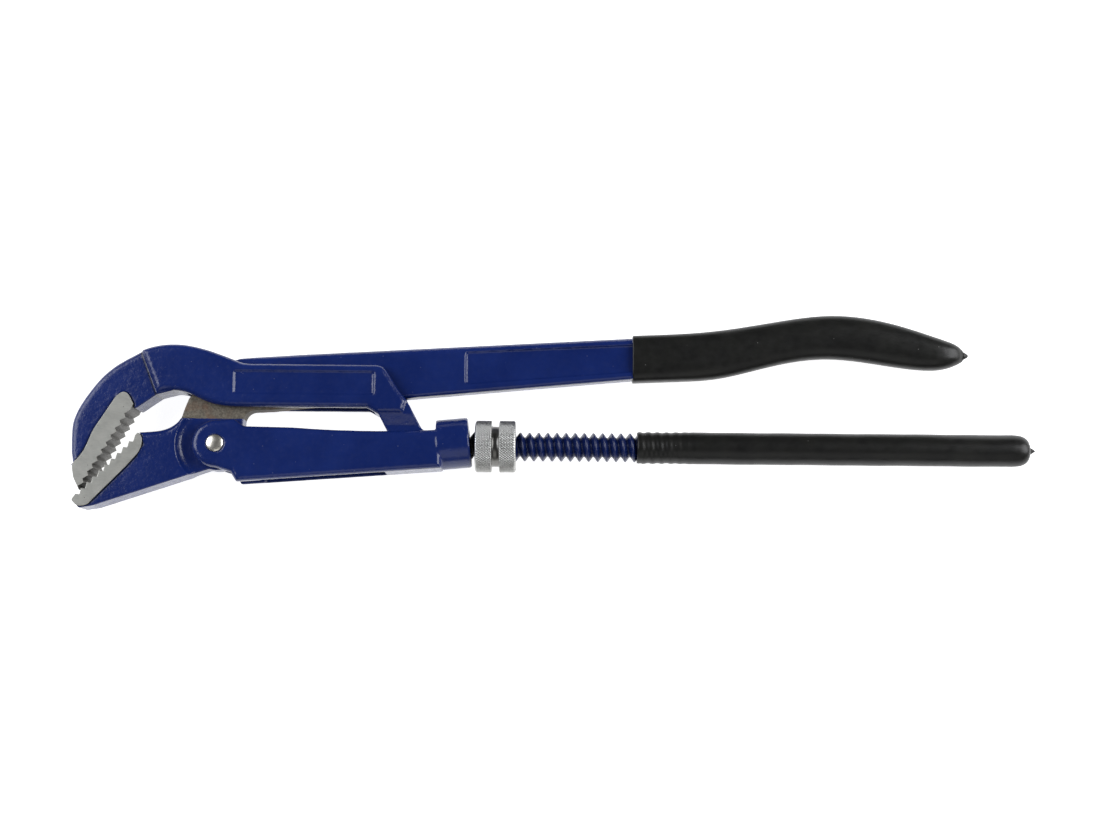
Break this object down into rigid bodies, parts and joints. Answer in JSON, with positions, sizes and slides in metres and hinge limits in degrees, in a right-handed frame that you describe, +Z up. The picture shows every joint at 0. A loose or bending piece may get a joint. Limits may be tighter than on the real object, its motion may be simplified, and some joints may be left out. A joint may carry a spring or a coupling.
{
  "type": "pipe wrench",
  "caption": "Adjustable S-jaw pipe wrench with a slotted hook jaw, a pivoting lever, a sliding sleeve, a knurled nut on a coarse thread and dipped grips.",
  "frame": {"origin": "centre of the bounding box at the level of the surface the wrench lies on", "axes": "+X along the threaded rod towards the grips, +Y from the rod towards the upper handle, +Z up through the wrench's thickness"},
  "size_m": [0.42, 0.0886, 0.023],
  "materials": {
    "blue_paint": "gloss",
    "bare_steel": "satin",
    "plated_nut": "bright",
    "rivet_steel": "bright",
    "black_pvc": "satin"
  },
  "bodies": {
    "hook_leg": {"hook_jaw": "blue_paint", "lower_grip": "black_pvc"},
    "sleeve": {"sleeve": "blue_paint", "pivot_rivet": "rivet_steel"},
    "lever": {"lever": "blue_paint", "upper_grip": "black_pvc"},
    "nut": {"adjusting_nut": "plated_nut"}
  },
  "joints": [
    {"name": "sleeve_slide", "type": "slide", "parent": "hook_leg", "child": "sleeve", "axis": [1, 0, 0], "range_m": [0, 0.045]},
    {"name": "handle_pivot", "type": "hinge", "parent": "sleeve", "child": "lever", "pos_m": [-0.1478, -0.0157, 0.0115], "axis": [0, 0, 1], "range_deg": [0, 14]},
    {"name": "nut_turn", "type": "hinge", "parent": "sleeve", "child": "nut", "pos_m": [-0.0265, -0.0151, 0.0115], "axis": [1, 0, 0], "range_deg": [0, 4051]}
  ],
  "couplings": [
    {"joint": "nut_turn", "follows": "sleeve_slide", "rad_per_m": 1570.8}
  ]
}
